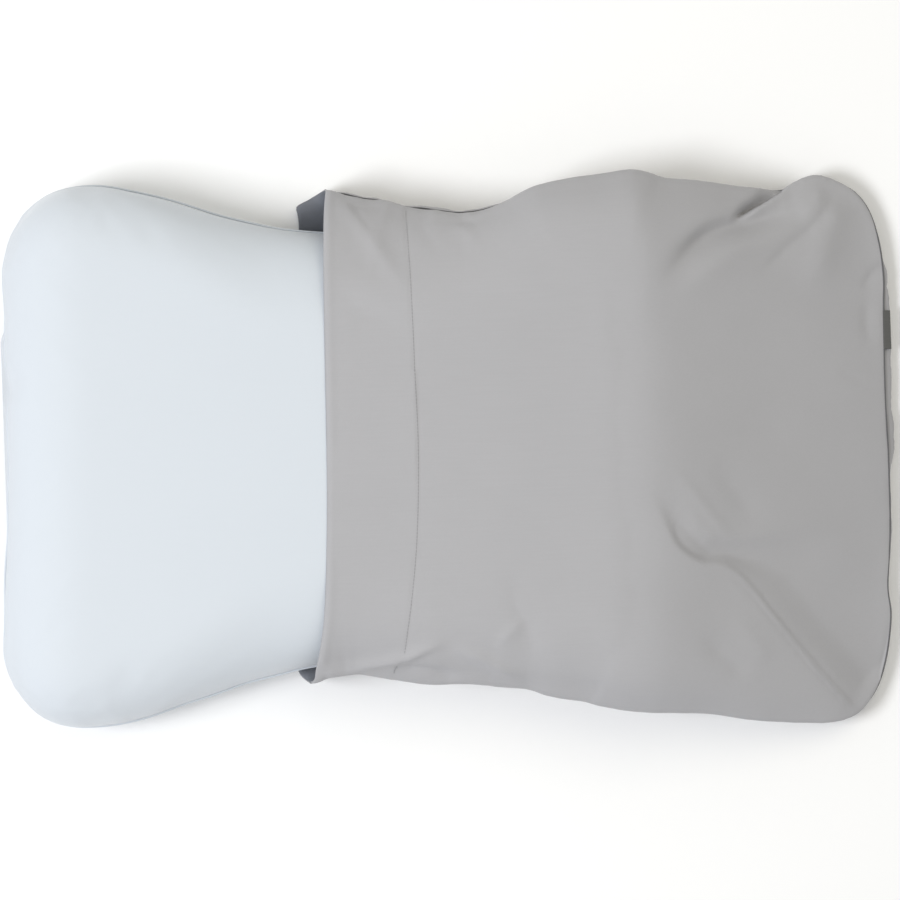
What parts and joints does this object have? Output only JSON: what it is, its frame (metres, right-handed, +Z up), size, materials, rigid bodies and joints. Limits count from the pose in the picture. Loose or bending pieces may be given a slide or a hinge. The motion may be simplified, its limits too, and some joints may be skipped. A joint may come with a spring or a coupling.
{
  "type": "camp pillow",
  "caption": "Hourglass foam camp pillow with a zipped washable cover, lying half inside a loose cotton pillowcase that slides off its end.",
  "frame": {"origin": "on the table under the middle of the pillow, on the underside of the pillowcase's lower panel", "axes": "+X along the pillow towards the pillowcase's closed end, +Y across it, +Z up from the table"},
  "size_m": [0.7584, 0.4804, 0.119],
  "materials": {
    "foam": "matte",
    "liner_cloth": "matte",
    "white_cover": "matte",
    "grey_cotton": "matte",
    "grey_thread": "matte",
    "dark_webbing": "matte",
    "zip_tape": "matte",
    "zip_nylon": "satin",
    "zip_metal": "satin"
  },
  "bodies": {
    "pillow": {"foam_core": "foam", "liner_top": "liner_cloth", "liner_bottom": "liner_cloth", "cover_top": "white_cover", "cover_bottom": "white_cover", "cover_seam": "white_cover", "zipper_tape_upper": "zip_tape", "zipper_tape_lower": "zip_tape", "zipper_coil_upper": "zip_nylon", "zipper_coil_lower": "zip_nylon", "zipper_top_stop_upper": "zip_metal", "zipper_top_stop_lower": "zip_metal", "zipper_bottom_stop": "zip_metal"},
    "pillowcase": {"case_top_panel": "grey_cotton", "case_bottom_panel": "grey_cotton", "case_hem_top": "grey_cotton", "case_hem_bottom": "grey_cotton", "hem_stitching_top": "grey_thread", "hem_stitching_bottom": "grey_thread", "case_seam": "grey_thread", "seam_tab": "dark_webbing"},
    "zip_slider": {"zipper_slider": "zip_metal"},
    "zip_pull": {"zipper_pull": "zip_metal"}
  },
  "joints": [
    {"name": "case_slide", "type": "slide", "parent": "pillow", "child": "pillowcase", "axis": [1, 0, 0], "range_m": [0, 0.4], "deforming": ["case_top_panel", "case_bottom_panel", "case_hem_top", "case_hem_bottom", "hem_stitching_top", "hem_stitching_bottom", "case_seam"]},
    {"name": "zip_slide", "type": "slide", "parent": "pillow", "child": "zip_slider", "axis": [0, 1, 0], "range_m": [0, 0.174]},
    {"name": "zip_pull_hinge", "type": "hinge", "parent": "zip_slider", "child": "zip_pull", "pos_m": [-0.30464, -0.0872, 0.0252], "axis": [-0.5, 0, 0.866], "range_deg": [0, 180]}
  ]
}
